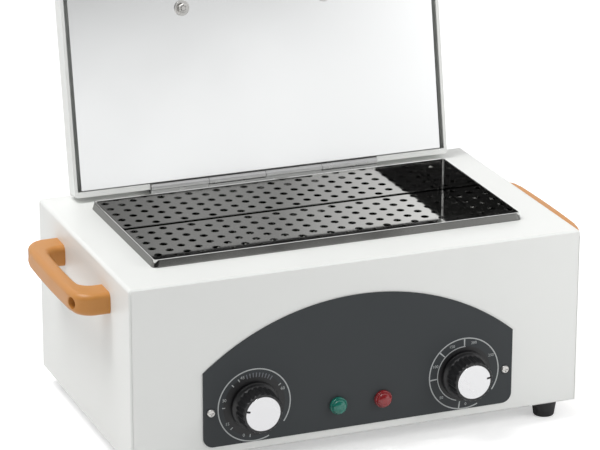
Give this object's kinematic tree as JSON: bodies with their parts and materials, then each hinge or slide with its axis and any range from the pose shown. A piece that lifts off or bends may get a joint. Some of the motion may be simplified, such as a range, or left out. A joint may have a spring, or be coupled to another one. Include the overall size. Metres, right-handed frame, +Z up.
{
  "type": "dry-heat bench steriliser",
  "caption": "White sheet-metal bench steriliser with an open hinged lid, a deep polished tub, a perforated tray, timer and thermostat dials, lamps and tan handles.",
  "frame": {"origin": "on the bench, under the middle of the outline that the machine has with its lid open", "axes": "+X to the right along the front panel, +Y from the front panel to the rear, +Z up"},
  "size_m": [0.428, 0.2926, 0.3315],
  "materials": {
    "white_paint": "smooth powder coat",
    "polished_steel": "mirror polished stainless",
    "hinge_steel": "satin",
    "zinc_steel": "zinc plated",
    "screw_steel": "plated",
    "slate_panel": "satin printed panel",
    "tan_plastic": "satin moulded",
    "black_plastic": "moulded",
    "dark_plastic": "moulded",
    "white_plastic": "moulded",
    "spun_aluminium": "spun",
    "black_rubber": "matte",
    "green_lens": "clear moulded",
    "red_lens": "clear moulded",
    "mineral_wool": "fibrous board",
    "heater_plate": "mica faced",
    "copper": "drawn copper"
  },
  "bodies": {
    "body": {"casing": "white_paint", "rear_panel": "white_paint", "rear_screws": "screw_steel", "base_plate": "zinc_steel", "foot_front_left": "black_rubber", "foot_front_right": "black_rubber", "foot_rear_left": "black_rubber", "foot_rear_right": "black_rubber", "foot_screws": "screw_steel", "foot_nuts": "screw_steel", "tub": "polished_steel", "insulation_jacket": "mineral_wool", "heater": "heater_plate", "heater_brackets": "zinc_steel", "sensing_bulb": "copper", "bulb_clip": "zinc_steel", "fascia_plate": "slate_panel", "fascia_screws": "screw_steel", "green_lens": "green_lens", "red_lens": "red_lens", "lamp_bodies": "white_plastic", "timer_body": "dark_plastic", "thermostat_body": "dark_plastic", "bushing_nuts": "screw_steel", "cable_gland": "black_plastic", "gland_nut": "black_plastic", "terminal_block": "white_plastic", "left_handle": "tan_plastic", "right_handle": "tan_plastic", "side_handle_screws": "screw_steel", "side_handle_nuts": "screw_steel", "hinge_body_leaf": "hinge_steel", "hinge_pin": "hinge_steel", "hinge_body_rivets": "screw_steel"},
    "lid": {"lid_skin": "white_paint", "lid_inner_panel": "polished_steel", "lid_insulation": "mineral_wool", "lid_handle": "tan_plastic", "lid_handle_screws": "screw_steel", "lid_washers": "screw_steel", "lid_nuts": "screw_steel", "hinge_lid_leaf": "hinge_steel", "hinge_lid_rivets": "screw_steel"},
    "tray": {"perforated_tray": "polished_steel"},
    "timer_dial": {"timer_knob": "black_plastic", "timer_knob_cap": "spun_aluminium", "timer_shaft": "screw_steel"},
    "thermostat_dial": {"thermostat_knob": "black_plastic", "thermostat_knob_cap": "spun_aluminium", "thermostat_shaft": "screw_steel"}
  },
  "joints": [
    {"name": "lid_hinge", "type": "hinge", "parent": "body", "child": "lid", "pos_m": [0, 0.0758, 0.16261], "axis": [1, 0, 0], "range_deg": [0, 100.5]},
    {"name": "tray_lift", "type": "slide", "parent": "body", "child": "tray", "axis": [0, 0, 1], "range_m": [0, 0.02]},
    {"name": "timer_turn", "type": "hinge", "parent": "body", "child": "timer_dial", "pos_m": [-0.087, -0.126, 0.052], "axis": [0, 1, 0], "range_deg": [-135, 190]},
    {"name": "thermostat_turn", "type": "hinge", "parent": "body", "child": "thermostat_dial", "pos_m": [0.087, -0.126, 0.052], "axis": [0, 1, 0], "range_deg": [-262, 8]}
  ]
}
